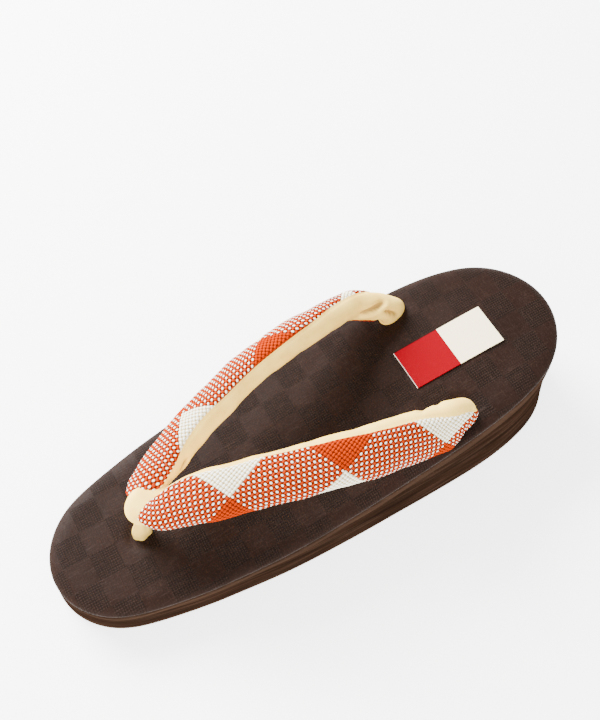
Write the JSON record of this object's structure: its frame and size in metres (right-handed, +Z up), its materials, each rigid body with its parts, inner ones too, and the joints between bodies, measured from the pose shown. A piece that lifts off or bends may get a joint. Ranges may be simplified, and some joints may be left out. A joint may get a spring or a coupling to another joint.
{
  "type": "zori sandal",
  "caption": "Wedge-soled zori sandal with a rolled footbed cover, padded woven straps joined over a velvet toe loop, and a bare heel label.",
  "frame": {"origin": "on the floor under the middle of the shoe's box", "axes": "+Z up, -Y towards the toe, +X towards the wearer's left"},
  "size_m": [0.0826, 0.2438, 0.071],
  "materials": {
    "sole_foam": "matte brown foam",
    "outsole_rubber": "matte brown rubber",
    "cover_sheet": "embossed dark brown sheet",
    "strap_weave": "coarse orange and white weave",
    "loop_velvet": "cream velvet",
    "label_card": "smooth printed label in red and cream"
  },
  "bodies": {
    "root": {"outsole": "outsole_rubber", "sole_body": "sole_foam", "top_cover": "cover_sheet", "straps": "strap_weave", "toe_post": "loop_velvet", "heel_label": "label_card"}
  },
  "joints": []
}
